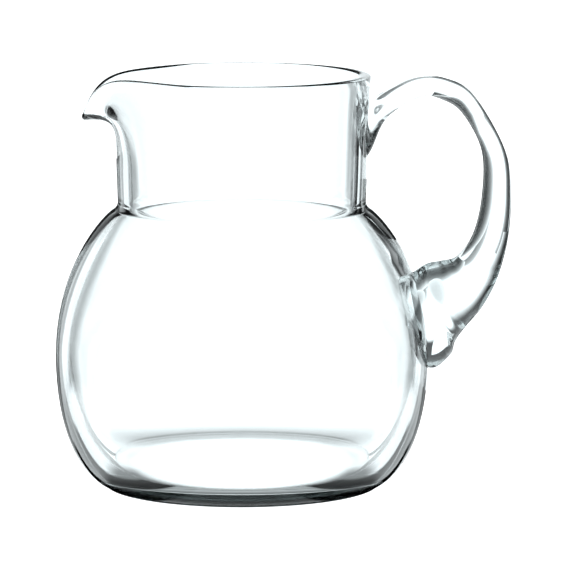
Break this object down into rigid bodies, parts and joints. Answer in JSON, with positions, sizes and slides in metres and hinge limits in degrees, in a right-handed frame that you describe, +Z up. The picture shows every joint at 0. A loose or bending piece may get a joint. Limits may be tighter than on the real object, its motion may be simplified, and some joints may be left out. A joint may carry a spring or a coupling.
{
  "type": "glass water jug",
  "caption": "Clear glass water jug with a round belly, a straight wide neck, a pulled pouring lip and a solid drawn glass handle.",
  "frame": {"origin": "centre of the flat underside of the foot, on the body's axis", "axes": "+Z up along the body's axis, +X towards the handle, so the pouring lip points along -X"},
  "size_m": [0.1761, 0.1446, 0.16],
  "materials": {
    "body_glass": "clear blown glass, fire polished",
    "handle_glass": "clear solid glass, fire polished"
  },
  "bodies": {
    "root": {"jug_body": "body_glass", "handle": "handle_glass"}
  },
  "joints": []
}
